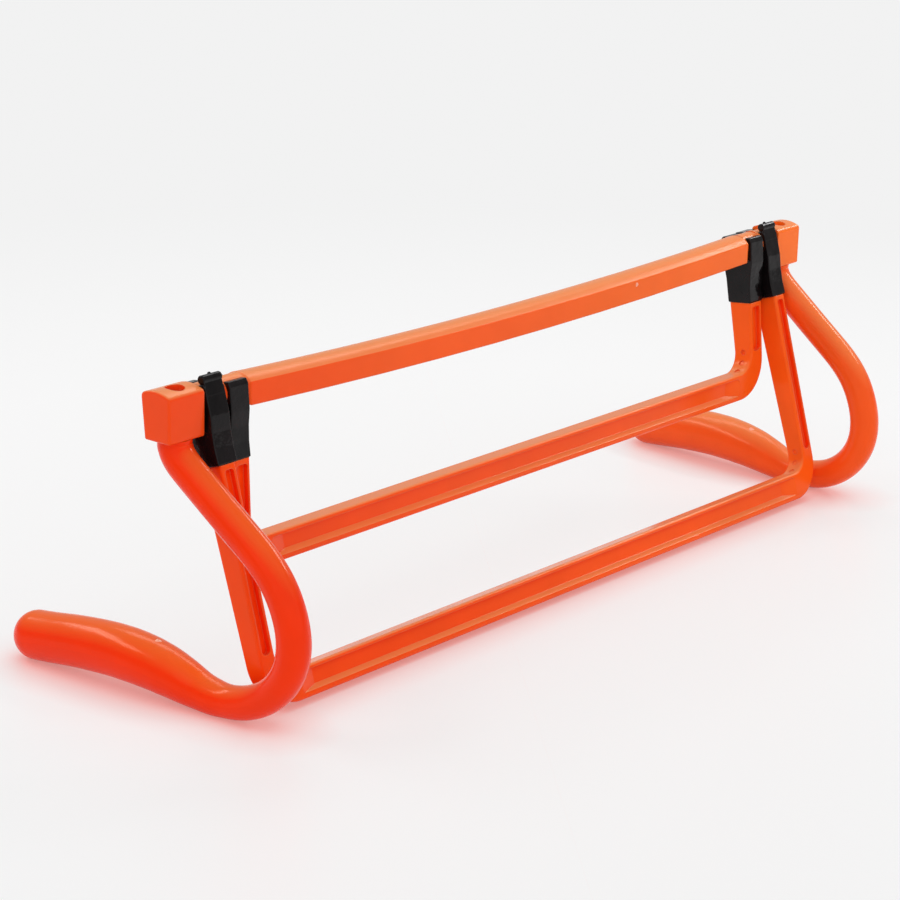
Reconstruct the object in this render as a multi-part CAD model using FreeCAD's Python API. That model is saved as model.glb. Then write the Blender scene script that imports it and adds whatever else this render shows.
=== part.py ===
import FreeCAD, Part
import math
import os

V = FreeCAD.Vector
os.makedirs("parts", exist_ok=True)

# Speed hurdle. X runs along the bar, the front is -Y, Z is up, floor at Z = 0. All in millimetres.
# Drawn with the bar above the X axis; the finished pieces are moved so that the origin is the
# middle of the ground the feet cover.

# Overall
length = 500.0               # over the two end blocks
crown_height = 148.3         # top of the end blocks: the lowest of the three hurdle heights
pivot_drop = 7.8             # crown to the axis of the round necks that the frames turn on

# Top bar
bar_depth = 16.0
bar_below = 7.3              # flat bottom of the bar, below the neck axis
bar_shoulder = 3.6           # front top edge, above the neck axis
bar_crown = 6.9              # top of the dome, above the neck axis
bar_dip = 4.2                # how much lower the middle of the bar lies than its ends
bar_wall = 2.4
rib_count = 10
rib_thickness = 1.8
neck_radius = 6.8
collar_radius = 7.2          # low ring that keeps the two clips apart
bar_end_taper = 2.0          # the bar narrows over this length towards each neck
bar_end_step = 1.1

# End blocks
block_length = 21.8
block_below = 15.5           # neck axis to the bottom of the block
block_rise = 2.1             # height of the dome
block_soft = 2.2             # rounding of its front and rear edges
block_back = 1.7             # how much further back than the bar the block reaches at its shoulder
block_draft = 2.0            # how much of its depth it loses towards the bottom
block_round = 1.1

# Clips and arms, along X
clip_width = 12.0
side_gap = 0.3               # clip against the bar and the collar
block_gap = 1.2              # long clip against the block
collar_thickness = 2.0

# Leg
tube_radius = 7.9
foot_radius = 12.5
leg_wall = 2.8
leg_forward = 68.1           # middle of the tube at the front of the loop
leg_back = 85.5              # middle of the rounded tip
leg_toe_out = 3.8            # degrees that each foot points outwards
leg_inset = 11.4             # leg axis, from the outer face of the block
spigot_radius = 6.0
spigot_length = 14.0
socket_gap = 0.05

# Leg screw
counterbore_radius = 4.5
counterbore_lift = 1.9       # floor of the counterbore, above the neck axis
leg_screw_radius = 2.0
leg_screw_length = 22.0
leg_head_radius = 3.7
leg_head_height = 2.4
washer_radius = 4.3
washer_thickness = 0.8
plug_radius = 3.4
plug_length = 24.0

# Frames
short_arm_width = 11.2
long_arm_width = 9.6         # narrower, so that it clears the legs as it swings
arm_front_top = 6.6
arm_rear_top = 7.5
cross_half = 4.9             # half depth of the cross bars
short_reach = 84.8           # neck axis to the far edge of the short cross bar
short_splay = 1.2            # how much further out the short arms are at the cross bar
cross_height = 14.6
short_lean = 6.1             # degrees forward of hanging
long_lean = 17.0
floor_gap = 0.4
outer_corner = 21.0
inner_corner = 11.0
rim = 2.0
low_rim = 2.6
front_recess = 2.8
rear_recess = 3.0
ledge_slope = 2.4            # height of the sloping lower wall of the front recess
recess_ramp = 13.0           # length over which the front recess runs out at each end
frame_round = 1.3
pin_mark_radius = 1.5        # round marks of the ejector pins in the inner corners
pin_mark_depth = 0.4

# Clips, side profile
bore_gap = 0.06
clip_foot = 31.5             # neck axis to the lower edge of the clip
finger_drop = 2.1            # how much shorter the rear fingers of the short clips are
clip_front = [               # rows: below the neck axis, in front of it, rounding
    (31.5, 6.8, 0.8), (24.0, 6.6, 5.0), (16.5, 7.2, 6.0), (9.0, 8.5, 5.0), (-3.0, 8.7, 2.6),
    (-5.2, 7.6, 0.8),
]
clip_rear = [                # rows: below the neck axis, behind it, rounding
    (-7.4, 10.2, 0.7), (-5.6, 11.8, 1.0), (-2.2, 10.6, 2.6), (8.0, 10.6, 5.0), (18.0, 8.9, 6.0),
    (31.5, 8.0, 0.8),
]
mouth_angle = 45.0
tenon_top = 14.6
tenon_half = 5.1
tenon_width = 8.4
tenon_gap = 0.05
lip_radius = 2.1
lip_forward = 6.9
lip_up = 7.6
saddle = 10.4                # neck axis to the floor under the clip screw's head
clip_head_radius = 2.7
clip_head_height = 1.9
clip_screw_radius = 1.5
clip_screw_tip = 25.0
hole_gap = 0.02

pivot_height = crown_height - pivot_drop
block_bottom = pivot_height - block_below
block_shoulder = crown_height - block_rise
counterbore_floor = pivot_height + counterbore_lift
half = length / 2.0
half_depth = bar_depth / 2.0
block_inner = half - block_length
leg_x = half - leg_inset
bore_radius = neck_radius + bore_gap
long_outer = block_inner - block_gap
long_inner = long_outer - clip_width
short_outer = long_inner - 2.0 * side_gap - collar_thickness
short_inner = short_outer - clip_width
bar_end = short_inner - side_gap
lean = math.radians(long_lean)
long_reach = (pivot_height - floor_gap - cross_half * math.sin(lean)) / math.cos(lean)


def rounded(points, place):
    """Closed wire through 2D corners (u, v, radius), each corner rounded; place maps (u, v) to space."""
    n = len(points)
    entry = []
    for i in range(n):
        u, v, r = points[i]
        pu, pv = points[i - 1][:2]
        nu, nv = points[(i + 1) % n][:2]
        a = V(pu - u, pv - v, 0)
        b = V(nu - u, nv - v, 0)
        la = a.Length
        lb = b.Length
        a.normalize()
        b.normalize()
        here = V(u, v, 0)
        angle = a.getAngle(b)
        if r <= 0.0 or angle > math.pi - 1e-4:
            entry.append((here, None, here))
            continue
        reach = r / math.tan(angle / 2.0)
        reach = min(reach, 0.49 * la, 0.49 * lb)
        r = reach * math.tan(angle / 2.0)
        middle = a + b
        middle.normalize()
        centre = here + middle * (r / math.sin(angle / 2.0))
        entry.append((here + a * reach, centre - middle * r, here + b * reach))
    edges = []
    for i in range(n):
        start, mid, end = entry[i]
        following = entry[(i + 1) % n][0]
        if mid is not None:
            bend = Part.Arc(place(start.x, start.y), place(mid.x, mid.y), place(end.x, end.y))
            edges.append(bend.toShape())
        if (following - end).Length > 1e-6:
            edges.append(Part.makeLine(place(end.x, end.y), place(following.x, following.y)))
    return Part.Wire(edges)


def spin(profile, centre, axis=V(0, 0, 1)):
    """Solid of revolution from (radius, height) corners, set on a point along an axis."""
    wire = Part.makePolygon([V(r, 0, z) for r, z in profile + profile[:1]])
    solid = Part.Face(wire).revolve(V(0, 0, 0), V(0, 0, 1), 360)
    solid.Placement = FreeCAD.Placement(centre, FreeCAD.Rotation(V(0, 0, 1), axis))
    return solid


def disc(radius, x0, x1, y=0.0, z=0.0):
    """Round bar along X."""
    return Part.makeCylinder(radius, x1 - x0, V(x0, y, z), V(1, 0, 0))


def soften(solid, radius, wanted):
    """Rounds the edges that wanted() picks."""
    edges = [e for e in solid.Edges if wanted(e)]
    return solid.makeFillet(radius, edges).Solids[0]


def mirrored(shape):
    return shape.mirror(V(0, 0, 0), V(1, 0, 0))


pieces = {}


def save(name, shape):
    pieces[name] = shape.removeSplitter()


def bar_wire(x, below, shoulder, crown, depth, soft):
    """Section of the bar at one X: flat bottom and sides, domed top, softened top edges."""
    rise = crown - shoulder
    dome_radius = (depth ** 2 + rise ** 2) / (2.0 * rise)
    dome_centre = crown - dome_radius
    inset = depth - soft
    soft_z = dome_centre + math.sqrt((dome_radius - soft) ** 2 - inset ** 2)
    aim = math.atan2(soft_z - dome_centre, inset)
    touch_y = dome_radius * math.cos(aim)
    touch_z = dome_centre + dome_radius * math.sin(aim)
    half_way = aim / 2.0
    mid_y = inset + soft * math.cos(half_way)
    mid_z = soft_z + soft * math.sin(half_way)
    edges = [
        Part.makeLine(V(x, -depth, below), V(x, depth, below)),
        Part.makeLine(V(x, depth, below), V(x, depth, soft_z)),
        Part.Arc(V(x, depth, soft_z), V(x, mid_y, mid_z), V(x, touch_y, touch_z)).toShape(),
        Part.Arc(V(x, touch_y, touch_z), V(x, 0, crown), V(x, -touch_y, touch_z)).toShape(),
        Part.Arc(V(x, -touch_y, touch_z), V(x, -mid_y, mid_z), V(x, -depth, soft_z)).toShape(),
        Part.makeLine(V(x, -depth, soft_z), V(x, -depth, below)),
    ]
    return Part.Wire(edges)


# Top bar

bow_radius = (bar_end ** 2 + bar_dip ** 2) / (2.0 * bar_dip)


def bow_wire(x, below, shoulder, crown, depth, soft):
    """Section of the bar, lifted to where the bowed bar is at that X."""
    middle = pivot_height - bar_dip + bow_radius - math.sqrt(bow_radius ** 2 - x ** 2)
    return bar_wire(x, middle + below, middle + shoulder, middle + crown, depth, soft)


def bowed(reach, below, shoulder, crown, depth, soft):
    """Bar from -reach to reach that dips to the middle along one large arc."""
    wires = [bow_wire(reach * (i - 4) / 4.0, below, shoulder, crown, depth, soft) for i in range(9)]
    return Part.makeLoft(wires, True, False)


bar_run = bar_end - bar_end_taper
span = bowed(bar_run, -bar_below, bar_shoulder, bar_crown, half_depth, 0.7)
step = bar_end_step
wide_end = bow_wire(bar_run, -bar_below, bar_shoulder, bar_crown, half_depth, 0.7)
slim_end = bow_wire(bar_end, step - bar_below, bar_shoulder - step, bar_crown - step, half_depth - step, 0.7)
bar_tip = Part.makeLoft([wide_end, slim_end], True, True)
span = span.fuse([bar_tip, mirrored(bar_tip)])
run = bar_end - 3.0
hollow = bowed(run, -bar_below - 1.0, bar_shoulder - 1.6, bar_crown - bar_wall, half_depth - bar_wall, 1.0)
for i in range(1, rib_count):
    at = -run + 2.0 * run * i / rib_count
    corner = V(at - rib_thickness / 2.0, -30, pivot_height - 40)
    hollow = hollow.cut(Part.makeBox(rib_thickness, 60, 80, corner))
span = span.cut(hollow)


def end_block(side):
    """Block with the leg socket and screw hole, and the round neck that carries the two clips."""
    depth = half_depth + block_back / 2.0
    face = Part.Face(bar_wire(block_inner, block_bottom, block_shoulder, crown_height, depth, block_soft))
    block = face.extrude(V(block_length, 0, 0))
    block.translate(V(0, block_back / 2.0, 0))
    back = half_depth + block_back
    high = V(block_inner, back, block_shoulder - block_soft)
    low = V(block_inner, back, block_bottom)
    wedge = Part.Face(Part.makePolygon([high, low - V(0, block_draft, 0), low, high]))
    block = block.cut(wedge.extrude(V(block_length, 0, 0)))

    def outer_edge(e):
        return e.BoundBox.XMin > half - 1e-3 or e.BoundBox.ZMax < block_bottom + 1e-3

    block = soften(block, block_round, outer_edge)
    neck = disc(neck_radius, bar_end - 1.0, block_inner + 1.0, 0, pivot_height)
    collar = disc(collar_radius, short_outer + side_gap, long_inner - side_gap, 0, pivot_height)
    solid = block.fuse([neck, collar])
    socket = Part.makeCylinder(spigot_radius + socket_gap, spigot_length + 0.4, V(leg_x, 0, block_bottom))
    clear = Part.makeCylinder(leg_screw_radius + 0.15, 60, V(leg_x, 0, block_bottom))
    sink = Part.makeCylinder(counterbore_radius, 20, V(leg_x, 0, counterbore_floor))
    solid = solid.cut(socket).cut(clear).cut(sink)
    if side < 0:
        solid = mirrored(solid)
    return solid


top_bar = span.fuse([end_block(1), end_block(-1)])
save("top_bar", top_bar)

# Legs. Each row: distance along the foot (share of forward or rear reach), height of the middle
# (share of the block's bottom, or gap under the tube on the foot rows), radius as a share of tube to foot.

upper_route = [
    (0.0, 1.0), (-0.004, 0.965), (-0.042, 0.928), (-0.12, 0.889), (-0.25, 0.835), (-0.42, 0.765),
    (-0.58, 0.700), (-0.73, 0.637), (-0.865, 0.560), (-0.955, 0.470), (-1.0, 0.372), (-0.985, 0.275),
    (-0.89, 0.178), (-0.70, 0.097),
]
foot_route = [
    (-0.43, 0.0, 0.0), (-0.235, 0.0, 0.22), (-0.07, 1.0, 0.56), (0.055, 2.1, 0.78), (0.185, 3.1, 0.93),
    (0.31, 3.6, 1.0), (0.45, 3.7, 1.0), (0.58, 3.2, 0.98), (0.725, 2.3, 0.94), (0.85, 1.2, 0.90),
    (1.0, 0.0, 0.86),
]
flat = 0.35                  # the tube is cut this much where it stands on the floor

route = []
radii = []
for share, height in upper_route:
    route.append(V(0, share * leg_forward, height * block_bottom))
    radii.append(tube_radius)
for share, lift, swell in foot_route:
    r = tube_radius + (foot_radius - tube_radius) * swell
    reach = leg_back if share > 0 else leg_forward
    route.append(V(0, share * reach, r + lift - flat))
    radii.append(r)

spine = Part.BSplineCurve()
spine.interpolate(Points=route)
knots = [spine.parameter(p) for p in route]


def heading(u):
    """Direction of the leg at one place."""
    along = spine.getDN(u, 1)
    along.normalize()
    if u == knots[0]:
        along = V(0, 0, -1)
    return along


def ring(u, less):
    """Circle across the leg at one place, smaller than its outside by less."""
    at = spine.value(u)
    along = heading(u)
    i = 0
    while i < len(knots) - 2 and u > knots[i + 1]:
        i += 1
    share = (u - knots[i]) / (knots[i + 1] - knots[i])
    r = radii[i] + share * (radii[i + 1] - radii[i])
    side = V(r - less, 0, 0)
    across = V(0, along.z, -along.y) * (r - less)
    upper = Part.Arc(at + side, at + across, at - side).toShape()
    lower = Part.Arc(at - side, at - across, at + side).toShape()
    return Part.Wire([upper, lower])


def tube(less, first, last):
    stations = []
    for i in range(len(knots) - 1):
        stations.append(knots[i])
        stations.append(0.5 * (knots[i] + knots[i + 1]))
    stations.append(knots[-1])
    rings = [ring(u, less) for u in stations if first <= u <= last]
    return Part.makeLoft(rings, True, False)


def leg(side):
    """One leg with its spigot, hollow inside, turned outwards by the toe angle."""
    body = tube(0.0, knots[0], knots[-1])
    tip = Part.makeSphere(radii[-1], route[-1], heading(knots[-1]), 0, 90, 360)
    spigot = Part.makeCylinder(spigot_radius, spigot_length, V(0, 0, block_bottom))
    solid = body.fuse([tip, spigot])
    solid = solid.cut(tube(leg_wall, knots[1], knots[-1]))
    seat_bottom = block_bottom + spigot_length - plug_length
    seat = Part.makeCylinder(plug_radius + hole_gap, plug_length, V(0, 0, seat_bottom))
    solid = solid.cut(seat)
    solid = solid.cut(Part.makeBox(200, 400, 50, V(-100, -200, -50)))
    solid.rotate(V(0, 0, 0), V(0, 0, 1), -side * leg_toe_out)
    solid.translate(V(side * leg_x, 0, 0))
    return solid


save("right_leg", leg(1))
save("left_leg", leg(-1))

plug_top = block_bottom + spigot_length
for side, name in ((1, "right"), (-1, "left")):
    at = V(side * leg_x, 0, 0)
    plug = Part.makeCylinder(plug_radius, plug_length, at + V(0, 0, plug_top - plug_length))
    screw_top = counterbore_floor + washer_thickness
    screw_tip = screw_top - leg_screw_length
    pilot = Part.makeCylinder(leg_screw_radius + hole_gap, plug_length, at + V(0, 0, screw_tip - 1.0))
    save(name + "_leg_plug", plug.cut(pilot))
    washer = Part.makeCylinder(washer_radius, washer_thickness, at + V(0, 0, counterbore_floor))
    hole = Part.makeCylinder(leg_screw_radius + 0.15, 10, at + V(0, 0, counterbore_floor - 5))
    save(name + "_leg_washer", washer.cut(hole))
    screw = spin([
        (0, screw_tip), (0.4, screw_tip), (leg_screw_radius, screw_tip + 3.0),
        (leg_screw_radius, screw_top), (leg_head_radius, screw_top),
        (leg_head_radius, screw_top + 0.5 * leg_head_height),
        (0.8 * leg_head_radius, screw_top + 0.83 * leg_head_height),
        (0.45 * leg_head_radius, screw_top + leg_head_height), (0, screw_top + leg_head_height),
    ], at)
    save(name + "_leg_screw", screw)


# Frames and clips are drawn hanging, with the neck axis at the origin, then leaned forward and lifted.

def hang(shape, degrees):
    shape.rotate(V(0, 0, 0), V(1, 0, 0), -degrees)
    shape.translate(V(0, 0, pivot_height))
    return shape


def side_plate(points, x0, x1):
    """Side profile (forward, down, radius) drawn at x0 and thickened to x1."""
    wire = rounded(points, lambda q, s: V(x0, -q, -s))
    return Part.Face(wire).extrude(V(x1 - x0, 0, 0))


def front_plate(points, q0, q1):
    """Outline seen from the front (x, down, radius), thickened from q0 to q1 forward."""
    wire = rounded(points, lambda x, s: V(x, -q0, -s))
    return Part.Face(wire).extrude(V(0, -(q1 - q0), 0))


def frame(middle, arm_width, reach, splay):
    """U-shaped frame: two tapering arms with a groove in front, and a channelled cross bar."""
    outer = middle + arm_width / 2.0
    inner = outer - arm_width
    under = reach - cross_height
    wide = outer + splay
    narrow = inner + splay
    outline = front_plate([
        (outer, clip_foot, 0), (wide, reach, outer_corner),
        (-wide, reach, outer_corner), (-outer, clip_foot, 0),
        (-inner, clip_foot, 0), (-narrow, under, inner_corner),
        (narrow, under, inner_corner), (inner, clip_foot, 0),
    ], -20, 20)

    def taper(less_front, less_rear):
        return side_plate([
            (arm_front_top - less_front, clip_foot, 0), (cross_half - less_front, reach, 0),
            (-cross_half + less_rear, reach, 0), (-arm_rear_top + less_rear, clip_foot, 0),
        ], -wide - 1, wide + 1)

    solid = outline.common(taper(0, 0))

    def rim_edge(e):
        box = e.BoundBox
        return box.ZMin < -clip_foot - 0.01 and box.XLength + box.ZLength > 2.0

    solid = soften(solid, frame_round, rim_edge)
    front = []
    rear = []
    groove_top = clip_foot + 2.5
    groove_end = under - inner_corner
    drift = splay * (groove_end - clip_foot) / (reach - clip_foot)
    for sign in (1, -1):
        a = sign * (outer - rim)
        b = sign * (inner + rim)
        c = sign * drift
        groove = [
            (a, groove_top, 1.5), (a + c, groove_end, 2.5),
            (b + c, groove_end, 2.5), (b, groove_top, 1.5),
        ]
        front.append(groove)
        rear.append(groove)
    run = narrow - inner_corner - 1.0
    front.append([
        (run, under + rim, 3), (run, reach - low_rim, 3),
        (-run, reach - low_rim, 3), (-run, under + rim, 3),
    ])
    ledge_top = reach - low_rim - ledge_slope
    ledge = side_plate([
        (cross_half - front_recess - 0.3, ledge_top, 0), (cross_half + 0.3, reach - low_rim, 0),
        (cross_half - front_recess - 0.3, reach - low_rim, 0),
    ], -wide - 1, wide + 1)
    cells = 10
    width = 2.0 * run / cells
    for i in range(cells):
        left = -run + i * width + rib_thickness / 2.0
        right = left + width - rib_thickness
        rear.append([
            (left, under + rim, 1), (left, reach - rim, 1),
            (right, reach - rim, 1), (right, under + rim, 1),
        ])
    keep = taper(front_recess, rear_recess).fuse(ledge)
    low = cross_half - front_recess - 0.3
    high = cross_half + 0.3
    for sign in (1, -1):
        start = V(sign * (run - recess_ramp), -low, -reach)
        wedge = [start, V(sign * run, -high, -reach), V(sign * run, -low, -reach), start]
        keep = keep.fuse(Part.Face(Part.makePolygon(wedge)).extrude(V(0, 0, cross_height)))
    for points in front:
        solid = solid.cut(front_plate(points, 0.5, 20).cut(keep))
    for points in rear:
        solid = solid.cut(front_plate(points, -20, -0.5).cut(keep))
    for sign in (1, -1):
        at = sign * middle
        tenon = Part.makeBox(tenon_width, 2 * tenon_half, clip_foot - tenon_top + 0.5,
                             V(at - tenon_width / 2.0, -tenon_half, -clip_foot - 0.5))
        solid = solid.fuse(tenon)
        for degrees in (4.0, 36.0, 68.0):
            along = V(sign * math.cos(math.radians(degrees)), 0, -math.sin(math.radians(degrees)))
            face = V(sign * (narrow - inner_corner), 0, inner_corner - under) + along * inner_corner
            mark = Part.makeCylinder(pin_mark_radius, 1.0 + pin_mark_depth, face - along * 1.0, along)
            solid = solid.cut(mark)
        bite = Part.makeCylinder(clip_screw_radius + hole_gap, 40, V(at, 0, -clip_screw_tip - 0.5))
        solid = solid.cut(bite)
    return solid


def clip(x0, rolled):
    """Clip at the +X end: socket for the arm below, fingers round the neck above."""
    profile = [(forward, down, r) for down, forward, r in clip_front]
    low = 0.0 if rolled else finger_drop
    profile += [(-behind, down + (low if down < 0.0 else 0.0), r) for down, behind, r in clip_rear]
    body = side_plate(profile, x0, x0 + clip_width)
    body = soften(body, 0.5, lambda e: e.BoundBox.XLength < 1e-3)
    mouth = math.radians(mouth_angle)
    u = bore_radius * math.sin(mouth)
    w = -bore_radius * math.cos(mouth)
    body = body.cut(disc(bore_radius, x0 - 1, x0 + clip_width + 1))
    gape = [(u, w, 0), (u + 0.6, -12, 0), (-u - 3.4, -12, 0), (-u, w, 0), (0, 0, 0)]
    body = body.cut(side_plate(gape, x0 - 1, x0 + clip_width + 1))
    if rolled:
        stem = [
            (clip_front[-2][1], 0, 0), (lip_forward + 0.7 * lip_radius, -lip_up, 0),
            (u + 0.6, -lip_up, 0), (u + 0.6, w, 0),
        ]
        stem = side_plate(stem, x0 + 0.5, x0 + clip_width - 0.5).cut(disc(bore_radius, x0, x0 + clip_width))
        roll = disc(lip_radius, x0, x0 + clip_width, -lip_forward, lip_up)
        roll = soften(roll, 0.6, lambda e: e.BoundBox.XLength < 1e-3)
        nub_at = V(x0 + 0.45 * clip_width, -lip_forward + 0.6, lip_up + lip_radius - 0.2)
        nub = Part.makeSphere(0.9, nub_at)
        body = body.fuse([stem, roll, nub])
    middle = x0 + clip_width / 2.0
    wide = tenon_width + 2 * tenon_gap
    deep = 2 * (tenon_half + tenon_gap)
    tall = clip_foot - tenon_top + tenon_gap
    pocket = Part.makeBox(wide, deep, tall, V(middle - wide / 2.0, -deep / 2.0, -clip_foot))
    head_hole = Part.makeCylinder(clip_head_radius + 0.2, saddle, V(middle, 0, -saddle))
    shank_hole = Part.makeCylinder(clip_screw_radius + 0.1, 20, V(middle, 0, -saddle - 10))
    return body.cut(pocket).cut(head_hole).cut(shank_hole)


def clip_screw(middle):
    top = -saddle + clip_head_height
    return spin([
        (0, -clip_screw_tip), (0.3, -clip_screw_tip), (clip_screw_radius, -clip_screw_tip + 2.5),
        (clip_screw_radius, -saddle), (clip_head_radius, -saddle), (clip_head_radius, -saddle + 1.0),
        (clip_head_radius * 0.75, top - 0.3), (clip_head_radius * 0.4, top), (0, top),
    ], V(middle, 0, 0))


for name, x0, width, reach, splay, angle, rolled in (
    ("short", short_inner, short_arm_width, short_reach, short_splay, short_lean, False),
    ("long", long_inner, long_arm_width, long_reach, 0.0, long_lean, True),
):
    middle = x0 + clip_width / 2.0
    save(name + "_frame", hang(frame(middle, width, reach, splay), angle))
    right = clip(x0, rolled)
    save("right_" + name + "_clip", hang(right.copy(), angle))
    save("left_" + name + "_clip", hang(mirrored(right), angle))
    save("right_" + name + "_clip_screw", hang(clip_screw(middle), angle))
    save("left_" + name + "_clip_screw", hang(clip_screw(-middle), angle))

foot_box = pieces["left_leg"].BoundBox
middle_y = 0.5 * (foot_box.YMin + foot_box.YMax)
print("bar axis at Y", -middle_y)
for name, shape in pieces.items():
    shape.translate(V(0, -middle_y, 0))
    shape.exportStep("parts/" + name + ".step")
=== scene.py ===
import math

import bmesh
import bpy
from mathutils import Matrix, Vector
from mathutils.bvhtree import BVHTree


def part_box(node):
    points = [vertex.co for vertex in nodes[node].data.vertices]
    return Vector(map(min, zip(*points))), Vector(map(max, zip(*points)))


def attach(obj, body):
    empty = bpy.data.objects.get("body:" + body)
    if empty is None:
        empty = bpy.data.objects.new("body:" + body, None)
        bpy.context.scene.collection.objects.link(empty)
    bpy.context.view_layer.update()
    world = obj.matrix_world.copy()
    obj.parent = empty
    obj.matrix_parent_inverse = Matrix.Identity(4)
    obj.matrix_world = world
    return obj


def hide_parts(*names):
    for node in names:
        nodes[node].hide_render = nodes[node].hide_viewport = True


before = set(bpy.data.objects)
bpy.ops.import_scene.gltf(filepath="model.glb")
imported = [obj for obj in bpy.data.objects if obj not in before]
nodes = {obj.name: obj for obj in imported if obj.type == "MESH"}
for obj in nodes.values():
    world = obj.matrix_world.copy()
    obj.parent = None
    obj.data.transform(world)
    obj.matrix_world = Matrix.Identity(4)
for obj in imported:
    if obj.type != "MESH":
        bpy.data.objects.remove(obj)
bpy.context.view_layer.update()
sides = ("left", "right")
mm = 0.001
full_turn = 2 * math.pi

# Photograph: camera found from the object's edges, written for a 900 pixel square picture.
photo_px = 900
centre_px = photo_px / 2
focal_px = 2838.8
sensor_width = 36.0                      # millimetres
view_azimuth = math.radians(-50.595)
view_elevation = math.radians(16.978)
view_roll = math.radians(1.389)
eye = Vector((-1089.0, -866.1, 488.9)) * mm
sight_limit = 200.0                      # metres, past the edge of the floor

# Orange plastic
painted_light_ends = (-0.25, 0.25)                 # X between which the colour is painted from deep to bright, as painted light that is stronger at +X
painted_light_waver = 0.04                         # metres by which that drift is uneven
top_sheen_span = (0.4, 1.0)                    # share of the normal pointing up at which the painted top sheen starts and is whole
flow_value = (0.94, 1.04)                # brightness of the flow marks
gloss_range = (-0.04, 0.06)              # patches of lower and higher roughness
orange_edge_radius = 1.0 * mm
# painted highlight: pale colour painted along sharp edges, where light catches them
orange_edge_highlight = (1.0, 0.24, 0.08)
orange_edge_highlight_amount = 0.5
groove_reach = 7 * mm
groove_red = (0.97, 0.03, 0.001)         # orange light thrown to and fro in a groove turns red
groove_amount = 0.8
groove_span = (0.35, 0.85)               # openness at which the red is whole and at which it ends
orange_specular = 0.26
orange_reflection = (1.0, 0.62, 0.4, 1)
orange_ior = 1.49
scatter_weight = 0.06
scatter_radius = (2.0 * mm, 0.5 * mm, 0.2 * mm)

# Black plastic
black_edge_radius = 0.6 * mm
# painted glint: pale colour painted along sharp edges, where light catches them
black_edge_glint = (0.05, 0.047, 0.052)
black_edge_glint_amount = 0.7
black_specular = 0.17
black_ior = 1.53

# Places in the photograph where a moulding gate was trimmed off: node, body, pixel, radius.
gate_marks = [
    ("left_leg", "left_leg", (158.5, 640.5), 1.5 * mm),
    ("right_leg", "right_leg", (751.5, 429.0), 1.5 * mm),
    ("top_bar", "bar", (637.0, 284.5), 1.1 * mm),
]
gate_points = 28
gate_profile = (                         # share of the radius, height above the surface
    (1.08, -0.05 * mm), (1.0, 0.0), (0.86, 0.1 * mm), (0.66, 0.15 * mm),
    (0.5, 0.08 * mm), (0.3, 0.13 * mm), (0.1, 0.1 * mm),
)
gate_outline = ((0.14, 3, 1.0), (0.07, 7, 0.0))  # waves of the ragged outline: amount, count, phase
gate_ripple = (0.3, 5, 9)                # waves of its height: amount, count, phase per share of the radius

# Screws
leg_screw = {"head": 3.7 * mm, "tall": 2.4 * mm, "shank": 2.0 * mm, "long": 22.0 * mm, "pitch": 1.5 * mm}
clip_screw = {"head": 2.7 * mm, "tall": 1.9 * mm, "shank": 1.5 * mm, "long": 14.6 * mm, "pitch": 1.1 * mm}
screw_lean = {"short_frame": math.radians(6.1), "long_frame": math.radians(17.0)}
screw_points = 48                        # points round a screw
shank_rings = 90
recess_rings = 26
tip_share = 0.2                          # radius of the blunt tip, as a share of the shank's
tip_taper = 2.0                          # steepness of the point
plain_share = 0.25                       # part of the length under the head that has no thread
thread_root = 0.74                       # radius of the thread's root, as a share of the shank's
head_profile = (                         # shares of the head's radius and height
    (1.0, 0.0), (1.0, 0.42), (0.97, 0.55), (0.88, 0.75), (0.74, 0.9),
)
recess_width = 0.14                      # shares of the head's radius and height
recess_depth = 0.62
recess_wall = (0.8, 1.2)                 # shares of the recess's width between which its wall rises
recess_end = (0.5, 0.5625)               # shares of the head's radius between which its ends rise

# Room
floor_size = 120.0
floor_colour = (0.84, 0.84, 0.84, 1)
floor_seen = (0.34, 0.34, 0.34, 1)       # as the camera sees it, with the glow added
floor_glow = (0.534, 0.534, 0.534)
floor_roughness = (0.4, 0.46)
contact_glow = (0.55, 0.22, 0.2)         # warm light that the plastic throws on the floor beside it
contact_reach = 28 * mm
contact_span = (0.42, 0.97)              # openness at which the warm light is whole and at which it ends
floor_far = 0.887                        # plain background tone of the photograph
floor_blend = (0.4, 0.9)                 # metres from the object at which the far tone starts and is whole
sky_strength = 0.46
fill_strength = 1.45
fill_softness = math.radians(120)
fill_from = Vector((-0.5, -0.8, 0.35))
softbox_distance = 1.5
softboxes = [                            # name, direction from the object, width, height, power
    ("left_softbox", Vector((-0.41, 0.59, 0.70)), 1.1, 0.2, 5.0),
    ("right_softbox", Vector((0.78, -0.18, 0.58)), 0.8, 0.15, 4.5),
    ("back_softbox", Vector((0.5, 0.42, 0.9)), 1.2, 0.4, 4.0),
]

# Shader nodes
mix_factor, mix_first, mix_second, mix_result = 0, 6, 7, 2  # sockets of a Mix node set to colours
bevel_samples = 6
groove_samples = 8
contact_samples = 12
edge_turn = (0.8, 0.985)                 # cosine of the rounding where an edge is whole and where it ends


def link(obj):
    """Puts a new object in the scene."""
    bpy.context.scene.collection.objects.link(obj)
    return obj


# Materials

def material(name):
    """New node material: returns it with its node tree and its main shader."""
    made = bpy.data.materials.new(name)
    made.use_nodes = True
    tree = made.node_tree
    return made, tree, tree.nodes["Principled BSDF"]


def node(tree, kind, **settings):
    made = tree.nodes.new(kind)
    for key, value in settings.items():
        setattr(made, key, value)
    return made


def noise(tree, place, scale, detail=2.0, roughness=0.5):
    """Noise on the object's own coordinates; scale is in cells per metre."""
    made = node(tree, "ShaderNodeTexNoise")
    made.inputs["Scale"].default_value = scale
    made.inputs["Detail"].default_value = detail
    made.inputs["Roughness"].default_value = roughness
    tree.links.new(place.outputs["Object"], made.inputs["Vector"])
    return made.outputs["Fac"]


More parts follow.
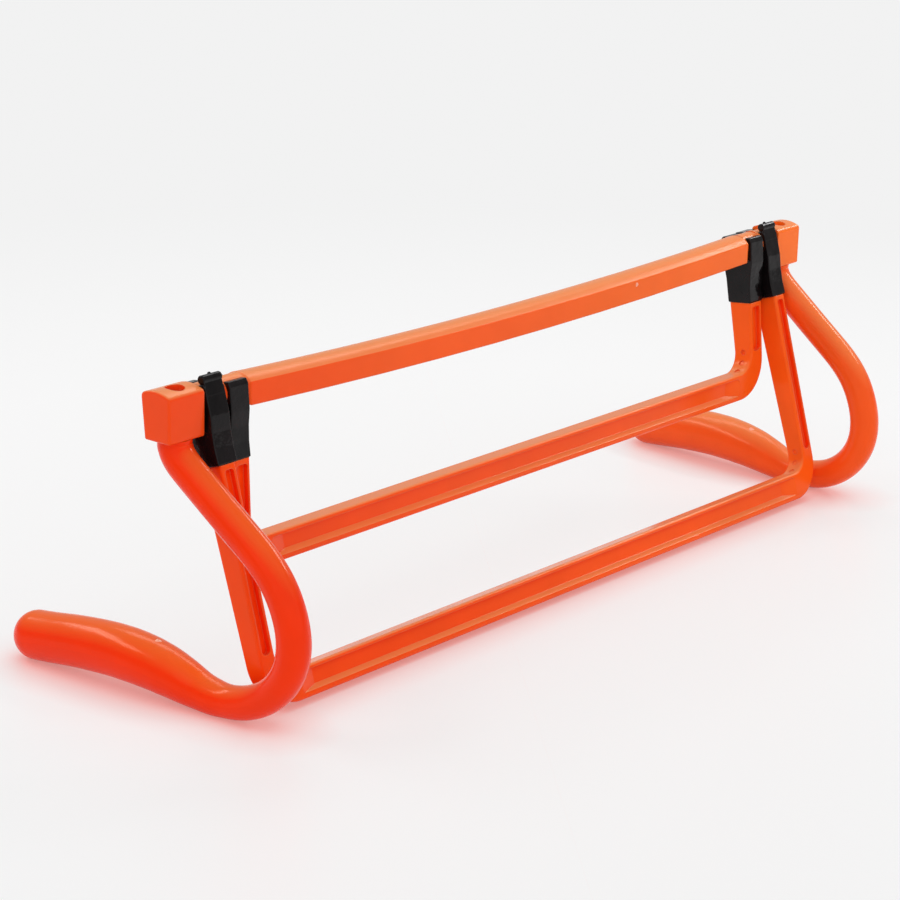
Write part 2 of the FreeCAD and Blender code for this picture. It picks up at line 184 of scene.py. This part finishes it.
def ramp(tree, value, low, high, span=(0.35, 0.65)):
    """Colour that runs from low to high as value crosses the span."""
    made = node(tree, "ShaderNodeValToRGB")
    for stop, position, colour in zip(made.color_ramp.elements, span, (low, high)):
        stop.position = position
        stop.color = (*colour, 1)
    tree.links.new(value, made.inputs["Fac"])
    return made.outputs["Color"]


def spread(tree, value, low, high, start=0.3, end=0.7):
    """Number that goes from low to high as value goes from start to end."""
    made = node(tree, "ShaderNodeMapRange")
    made.inputs["From Min"].default_value = start
    made.inputs["From Max"].default_value = end
    made.inputs["To Min"].default_value = low
    made.inputs["To Max"].default_value = high
    tree.links.new(value, made.inputs["Value"])
    return made.outputs["Result"]


def tint(tree, colour, other, amount):
    """Mixes a second colour in by a number."""
    mix = node(tree, "ShaderNodeMix", data_type="RGBA")
    tree.links.new(amount, mix.inputs[mix_factor])
    tree.links.new(colour, mix.inputs[mix_first])
    mix.inputs[mix_second].default_value = (*other, 1)
    return mix.outputs[mix_result]


def soft_edges(tree, radius):
    """Normal that rounds every sharp edge, and a number that is 1 on those edges."""
    bevel = node(tree, "ShaderNodeBevel", samples=bevel_samples)
    bevel.inputs["Radius"].default_value = radius
    geometry = node(tree, "ShaderNodeNewGeometry")
    dot = node(tree, "ShaderNodeVectorMath", operation="DOT_PRODUCT")
    tree.links.new(bevel.outputs["Normal"], dot.inputs[0])
    tree.links.new(geometry.outputs["Normal"], dot.inputs[1])
    return bevel.outputs["Normal"], spread(tree, dot.outputs["Value"], 1.0, 0.0, *edge_turn)


def openness(tree, reach, samples, only_local):
    """Number that is 1 in the open and falls towards 0 in a corner or beside something near."""
    made = node(tree, "ShaderNodeAmbientOcclusion", samples=samples, only_local=only_local)
    made.inputs["Distance"].default_value = reach
    return made.outputs["AO"]


def upward(tree, place, start, end):
    """Number that is 1 on faces that look up at rest, on which a paler colour is painted as a sheen of light
    from above.
    """
    split = node(tree, "ShaderNodeSeparateXYZ")
    tree.links.new(place.outputs["Normal"], split.inputs["Vector"])
    return spread(tree, split.outputs["Z"], 0.0, 1.0, start, end)


def painted_light_along_x(tree, place, start, end):
    """Number that goes from 0 to 1 along X, a little uneven, for colour painted brighter towards one end as
    painted light.
    """
    split = node(tree, "ShaderNodeSeparateXYZ")
    tree.links.new(place.outputs["Object"], split.inputs["Vector"])
    drift = node(tree, "ShaderNodeMath", operation="ADD")
    tree.links.new(split.outputs["X"], drift.inputs[0])
    tree.links.new(spread(tree, noise(tree, place, scale=9.0), -painted_light_waver, painted_light_waver), drift.inputs[1])
    return spread(tree, drift.outputs["Value"], 0.0, 1.0, start, end)


def bumped(tree, shader, normal, layers):
    """Chains bump layers of (height value, strength, distance in metres) into the shader."""
    for height, strength, distance in layers:
        bump = node(tree, "ShaderNodeBump")
        bump.inputs["Strength"].default_value = strength
        bump.inputs["Distance"].default_value = distance
        tree.links.new(height, bump.inputs["Height"])
        if normal is not None:
            tree.links.new(normal, bump.inputs["Normal"])
        normal = bump.outputs["Normal"]
    tree.links.new(normal, shader.inputs["Normal"])


def orange_plastic(name, deep, bright, top_sheen_colour, gloss, sharp=True):
    """Moulded polypropylene: soft gloss, flow marks, fine skin; painted light: tops painted paler as a sheen
    from above, colour painted brighter towards +X, pale highlights painted on sharp edges, grooves painted
    red as light bounced in them.
    """
    made, tree, shader = material(name)
    place = node(tree, "ShaderNodeTexCoord")
    flow = noise(tree, place, scale=24.0, detail=3.0)
    # painted light: the colour runs from deep to bright along X, as if the +X end were lit more strongly
    colour = ramp(tree, painted_light_along_x(tree, place, *painted_light_ends), deep, bright, span=(0.0, 1.0))
    streak = node(tree, "ShaderNodeHueSaturation")
    tree.links.new(spread(tree, flow, *flow_value), streak.inputs["Value"])
    tree.links.new(colour, streak.inputs["Color"])
    # painted sheen: faces that look up are painted paler, as light from above would show them
    colour = tint(tree, streak.outputs["Color"], top_sheen_colour, upward(tree, place, *top_sheen_span))
    normal = None
    if sharp:
        normal, edge = soft_edges(tree, orange_edge_radius)
        near = openness(tree, groove_reach, groove_samples, only_local=True)
        shut = spread(tree, near, groove_amount, 0.0, *groove_span)
        colour = tint(tree, colour, groove_red, shut)
        # painted highlight: sharp edges are painted paler, as light catching them would show
        edge_highlight = spread(tree, edge, 0.0, orange_edge_highlight_amount, start=0.2, end=1.0)
        colour = tint(tree, colour, orange_edge_highlight, edge_highlight)
    tree.links.new(colour, shader.inputs["Base Color"])
    cloud = noise(tree, place, scale=70.0, detail=4.0, roughness=0.6)
    rough = spread(tree, cloud, gloss + gloss_range[0], gloss + gloss_range[1])
    tree.links.new(rough, shader.inputs["Roughness"])
    skin = noise(tree, place, scale=1500.0)
    bumped(tree, shader, normal, [(skin, 0.05, 0.1 * mm), (cloud, 0.05, 0.5 * mm)])
    shader.inputs["Specular IOR Level"].default_value = orange_specular
    shader.inputs["Specular Tint"].default_value = orange_reflection
    shader.inputs["IOR"].default_value = orange_ior
    shader.inputs["Subsurface Weight"].default_value = scatter_weight
    shader.inputs["Subsurface Radius"].default_value = scatter_radius
    shader.inputs["Subsurface Scale"].default_value = 1.0
    return made


def black_plastic():
    """Glossy moulded nylon with faint flow and fine scuffs, and pale glints painted along its sharp edges.
    """
    made, tree, shader = material("black_nylon")
    place = node(tree, "ShaderNodeTexCoord")
    normal, edge = soft_edges(tree, black_edge_radius)
    flow = noise(tree, place, scale=60.0, detail=4.0, roughness=0.6)
    colour = ramp(tree, flow, (0.003, 0.002, 0.0022), (0.009, 0.006, 0.0065))
    # painted glint: sharp edges are painted paler, as light catching them would show
    edge_highlight = spread(tree, edge, 0.0, black_edge_glint_amount, start=0.25, end=1.0)
    tree.links.new(tint(tree, colour, black_edge_glint, edge_highlight), shader.inputs["Base Color"])
    scuff = noise(tree, place, scale=240.0, detail=4.0, roughness=0.6)
    tree.links.new(spread(tree, scuff, 0.05, 0.16), shader.inputs["Roughness"])
    skin = noise(tree, place, scale=2200.0)
    bumped(tree, shader, normal, [(skin, 0.05, 0.1 * mm), (flow, 0.5, 1.5 * mm)])
    shader.inputs["IOR"].default_value = black_ior
    shader.inputs["Specular IOR Level"].default_value = black_specular
    return made


def mottled(name, patch, dark, pale, roughness, grain, metal=0.0):
    """Patchy colour and roughness, with a fine bumped grain of (scale, strength, depth in metres)."""
    made, tree, shader = material(name)
    place = node(tree, "ShaderNodeTexCoord")
    cloud = noise(tree, place, **patch)
    tree.links.new(ramp(tree, cloud, dark, pale), shader.inputs["Base Color"])
    tree.links.new(spread(tree, cloud, *roughness), shader.inputs["Roughness"])
    scale, strength, depth = grain
    bumped(tree, shader, None, [(noise(tree, place, scale), strength, depth)])
    shader.inputs["Metallic"].default_value = metal
    return made


def dress(names, made):
    for name in names:
        slots = nodes[name].data.materials
        slots.clear()
        slots.append(made)


bar_orange = orange_plastic(
    "orange_bar", deep=(0.99, 0.07, 0.008), bright=(0.99, 0.17, 0.014), top_sheen_colour=(0.87, 0.27, 0.085),
    gloss=0.2)
# painted light and shade: the legs are lit and shaded copies of one plastic, the left painted redder and
# darker, the right paler
shaded_left_leg_orange = orange_plastic(
    "orange_left_leg_shaded", deep=(0.99, 0.034, 0.001), bright=(0.99, 0.05, 0.002), top_sheen_colour=(0.88, 0.14, 0.02),
    gloss=0.17, sharp=False)
lit_right_leg_orange = orange_plastic(
    "orange_right_leg_lit", deep=(0.99, 0.07, 0.006), bright=(0.99, 0.1, 0.012), top_sheen_colour=(0.88, 0.24, 0.065),
    gloss=0.17, sharp=False)
frame_orange = orange_plastic(
    "orange_frames", deep=(0.99, 0.07, 0.004), bright=(0.99, 0.115, 0.008), top_sheen_colour=(0.88, 0.26, 0.08),
    gloss=0.18)
black = black_plastic()
steel = mottled(
    "zinc_steel", {"scale": 400.0, "detail": 4.0, "roughness": 0.6}, dark=(0.5, 0.5, 0.52),
    pale=(0.68, 0.69, 0.72), roughness=(0.24, 0.42), grain=(3000.0, 0.15, 0.05 * mm), metal=1.0)
nylon = mottled(
    "natural_nylon", {"scale": 180.0, "detail": 3.0, "roughness": 0.6}, dark=(0.72, 0.7, 0.64),
    pale=(0.82, 0.8, 0.75), roughness=(0.42, 0.58), grain=(1400.0, 0.1, 0.1 * mm))
torn = mottled(
    "torn_plastic", {"scale": 900.0, "detail": 3.0, "roughness": 0.6}, dark=(0.95, 0.25, 0.12),
    pale=(1.0, 0.6, 0.45), roughness=(0.4, 0.6), grain=(2600.0, 0.5, 0.2 * mm))
dress(["top_bar"], bar_orange)
dress(["left_leg"], shaded_left_leg_orange)
dress(["right_leg"], lit_right_leg_orange)
dress(["short_frame", "long_frame"], frame_orange)
dress([side + "_" + kind + "_clip" for side in sides for kind in ("short", "long")], black)
dress([side + "_leg_plug" for side in sides], nylon)
dress([side + "_leg_washer" for side in sides], steel)


# Detail pieces

def angles(count):
    return [full_turn * k / count for k in range(count)]


def fall(value, start, end):
    """Goes from 1 at start to 0 at end, and stays there on both sides."""
    return max(0.0, min(1.0, (end - value) / (end - start)))


def grid_piece(name, rings, made):
    """Mesh from rings of points, joined ring to ring; the first and last rings end in a cap."""
    mesh = bpy.data.meshes.new(name)
    form = bmesh.new()
    rows = [[form.verts.new(p) for p in ring] for ring in rings]
    count = len(rows[0])
    for a, b in zip(rows, rows[1:]):
        for i in range(count):
            k = (i + 1) % count
            form.faces.new((a[i], a[k], b[k], b[i]))
    form.faces.new(list(reversed(rows[0])))
    form.faces.new(rows[-1])
    bmesh.ops.recalc_face_normals(form, faces=form.faces)
    for face in form.faces:
        face.smooth = True
    form.to_mesh(mesh)
    form.free()
    mesh.materials.append(made)
    return link(bpy.data.objects.new(name, mesh))


def shank(size, tip, seat):
    """Rings of a screw's shank from its tip to its head, with the thread rolled in."""
    rings = []
    for i in range(shank_rings + 1):
        z = tip + (seat - tip) * i / shank_rings
        taper = min(1.0, tip_share + (z - tip) / (tip_taper * size["shank"]))
        plain = z > seat - plain_share * size["long"]
        row = []
        for a in angles(screw_points):
            wave = abs(((z - tip) / size["pitch"] - a / full_turn) % 1.0 - 0.5) * 2.0
            thread = 1.0 if plain else thread_root + (1.0 - thread_root) * wave ** 2
            r = size["shank"] * taper * thread
            row.append((r * math.cos(a), r * math.sin(a), z))
        rings.append(row)
    return rings


def pan_head(size, seat):
    """Rings of a screw's head: its side, then its crown with a cross recess."""
    rings = []
    for share, height in head_profile:
        r = size["head"] * share
        z = seat + size["tall"] * height
        rings.append([(r * math.cos(a), r * math.sin(a), z) for a in angles(screw_points)])
    rim_share, rim_height = head_profile[-1]
    for i in range(1, recess_rings):
        share = rim_share * (1.0 - i / recess_rings)
        crown = rim_height + (1.0 - rim_height) * (1.0 - (share / rim_share) ** 2)
        row = []
        for a in angles(screw_points):
            x = size["head"] * share * math.cos(a)
            y = size["head"] * share * math.sin(a)
            across = min(abs(x), abs(y)) / (recess_width * size["head"])
            inside = fall(across, *recess_wall) * fall(share, *recess_end)
            row.append((x, y, seat + size["tall"] * (crown - recess_depth * inside)))
        rings.append(row)
    return rings


def screw(name, body, size):
    """Pan-head screw with a cross recess and a rolled thread, in the place of its CAD node."""
    low, high = (Vector(corner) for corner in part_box(name))
    middle = Matrix.Translation((low + high) / 2)
    lean = Matrix.Rotation(-screw_lean.get(body, 0.0), 4, "X")
    seat = (size["long"] - size["tall"]) / 2
    tip = seat - size["long"]
    made = grid_piece(name + "_turned", shank(size, tip, seat) + pan_head(size, seat), steel)
    made.data.transform(middle @ lean)
    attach(made, body)
    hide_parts(name)


def view_axes():
    """Camera's right, up and backward directions."""
    flat = math.cos(view_elevation)
    back = Vector((math.sin(view_azimuth) * flat, -math.cos(view_azimuth) * flat, math.sin(view_elevation)))
    right = Vector((math.cos(view_azimuth), math.sin(view_azimuth), 0))
    up = back.cross(right)
    turned_right = right * math.cos(view_roll) + up * math.sin(view_roll)
    turned_up = up * math.cos(view_roll) - right * math.sin(view_roll)
    return turned_right, turned_up, back


def gate_mark(name, carrier, body, pixel, radius):
    """Low torn spot on a node's surface, at the place that a pixel of the photograph shows."""
    right, up, back = view_axes()
    ray = right * (pixel[0] - centre_px) / focal_px - up * (pixel[1] - centre_px) / focal_px - back
    mesh = nodes[carrier].data
    surface = BVHTree.FromPolygons([v.co for v in mesh.vertices], [p.vertices[:] for p in mesh.polygons])
    at, facing, _, _ = surface.ray_cast(eye, ray.normalized())
    along = facing.orthogonal().normalized()
    across = facing.cross(along)
    rough, waves, turn = gate_ripple
    rings = []
    for share, height in gate_profile:
        row = []
        for a in angles(gate_points):
            ragged = 1.0 + sum(amount * math.sin(count * a + phase) for amount, count, phase in gate_outline)
            reach = radius * share * ragged
            wanted = at + along * reach * math.cos(a) + across * reach * math.sin(a)
            near, normal, _, _ = surface.find_nearest(wanted)
            row.append(near + normal * height * (1.0 + rough * math.sin(waves * a + turn * share)))
        rings.append(row)
    made = grid_piece(name, rings, torn)
    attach(made, body)


# Room, light and camera

def pale_floor():
    """Pale floor that keeps the object's shadow, warm beside the object and plain further off."""
    made, tree, shader = material("pale_floor")
    place = node(tree, "ShaderNodeTexCoord")
    patch = noise(tree, place, scale=3.0, detail=3.0)
    tree.links.new(spread(tree, patch, *floor_roughness), shader.inputs["Roughness"])

    path = node(tree, "ShaderNodeLightPath")
    mirrored = node(tree, "ShaderNodeMath", operation="MAXIMUM")
    tree.links.new(path.outputs["Is Glossy Ray"], mirrored.inputs[0])
    tree.links.new(path.outputs["Is Transmission Ray"], mirrored.inputs[1])
    seen = node(tree, "ShaderNodeMath", operation="MAXIMUM")
    tree.links.new(path.outputs["Is Camera Ray"], seen.inputs[0])
    tree.links.new(mirrored.outputs["Value"], seen.inputs[1])

    tone = node(tree, "ShaderNodeMix", data_type="RGBA")
    tone.inputs[mix_first].default_value = floor_colour
    tone.inputs[mix_second].default_value = floor_seen
    tree.links.new(seen.outputs["Value"], tone.inputs[mix_factor])
    tree.links.new(tone.outputs[mix_result], shader.inputs["Base Color"])
    beside = openness(tree, contact_reach, contact_samples, only_local=False)
    glow = ramp(tree, beside, contact_glow, floor_glow, contact_span)
    tree.links.new(glow, shader.inputs["Emission Color"])
    tree.links.new(seen.outputs["Value"], shader.inputs["Emission Strength"])

    away = node(tree, "ShaderNodeVectorMath", operation="LENGTH")
    tree.links.new(place.outputs["Object"], away.inputs[0])
    far = node(tree, "ShaderNodeMath", operation="MULTIPLY")
    tree.links.new(spread(tree, away.outputs["Value"], 0.0, 1.0, *floor_blend), far.inputs[0])
    tree.links.new(seen.outputs["Value"], far.inputs[1])
    plain = node(tree, "ShaderNodeEmission")
    plain.inputs["Strength"].default_value = floor_far
    mix = node(tree, "ShaderNodeMixShader")
    tree.links.new(far.outputs["Value"], mix.inputs[0])
    tree.links.new(shader.outputs["BSDF"], mix.inputs[1])
    tree.links.new(plain.outputs["Emission"], mix.inputs[2])
    tree.links.new(mix.outputs["Shader"], tree.nodes["Material Output"].inputs["Surface"])
    return made


def room():
    bpy.ops.mesh.primitive_plane_add(size=floor_size)
    ground = bpy.context.object
    ground.name = "floor"
    ground.data.materials.append(pale_floor())
    world = bpy.data.worlds.new("studio")
    world.use_nodes = True
    sky = world.node_tree.nodes["Background"]
    sky.inputs["Color"].default_value = (1, 1, 1, 1)
    sky.inputs["Strength"].default_value = sky_strength
    bpy.context.scene.world = world


def lights():
    lamp = bpy.data.lights.new("front_fill", "SUN")
    lamp.energy = fill_strength
    lamp.angle = fill_softness
    fill = link(bpy.data.objects.new("front_fill", lamp))
    fill.rotation_euler = fill_from.to_track_quat("Z", "Y").to_euler()
    for name, toward, width, height, power in softboxes:
        lamp = bpy.data.lights.new(name, "AREA")
        lamp.shape = "RECTANGLE"
        lamp.size = width
        lamp.size_y = height
        lamp.energy = power
        box = link(bpy.data.objects.new(name, lamp))
        box.location = toward.normalized() * softbox_distance
        box.rotation_euler = toward.to_track_quat("Z", "Y").to_euler()


def photo_camera():
    data = bpy.data.cameras.new("photo_camera")
    data.sensor_width = sensor_width
    data.sensor_fit = "HORIZONTAL"
    data.lens = focal_px / photo_px * sensor_width
    data.clip_end = sight_limit
    camera = link(bpy.data.objects.new("photo_camera", data))
    turn = Matrix(view_axes()).transposed().to_4x4()
    camera.matrix_world = Matrix.Translation(eye) @ turn
    bpy.context.scene.camera = camera


for side in sides:
    screw(side + "_leg_screw", side + "_leg", leg_screw)
    screw(side + "_short_clip_screw", "short_frame", clip_screw)
    screw(side + "_long_clip_screw", "long_frame", clip_screw)
for carrier, body, pixel, radius in gate_marks:
    gate_mark(carrier + "_gate_mark", carrier, body, pixel, radius)
room()
lights()
photo_camera()
bpy.context.scene.view_settings.view_transform = "Standard"
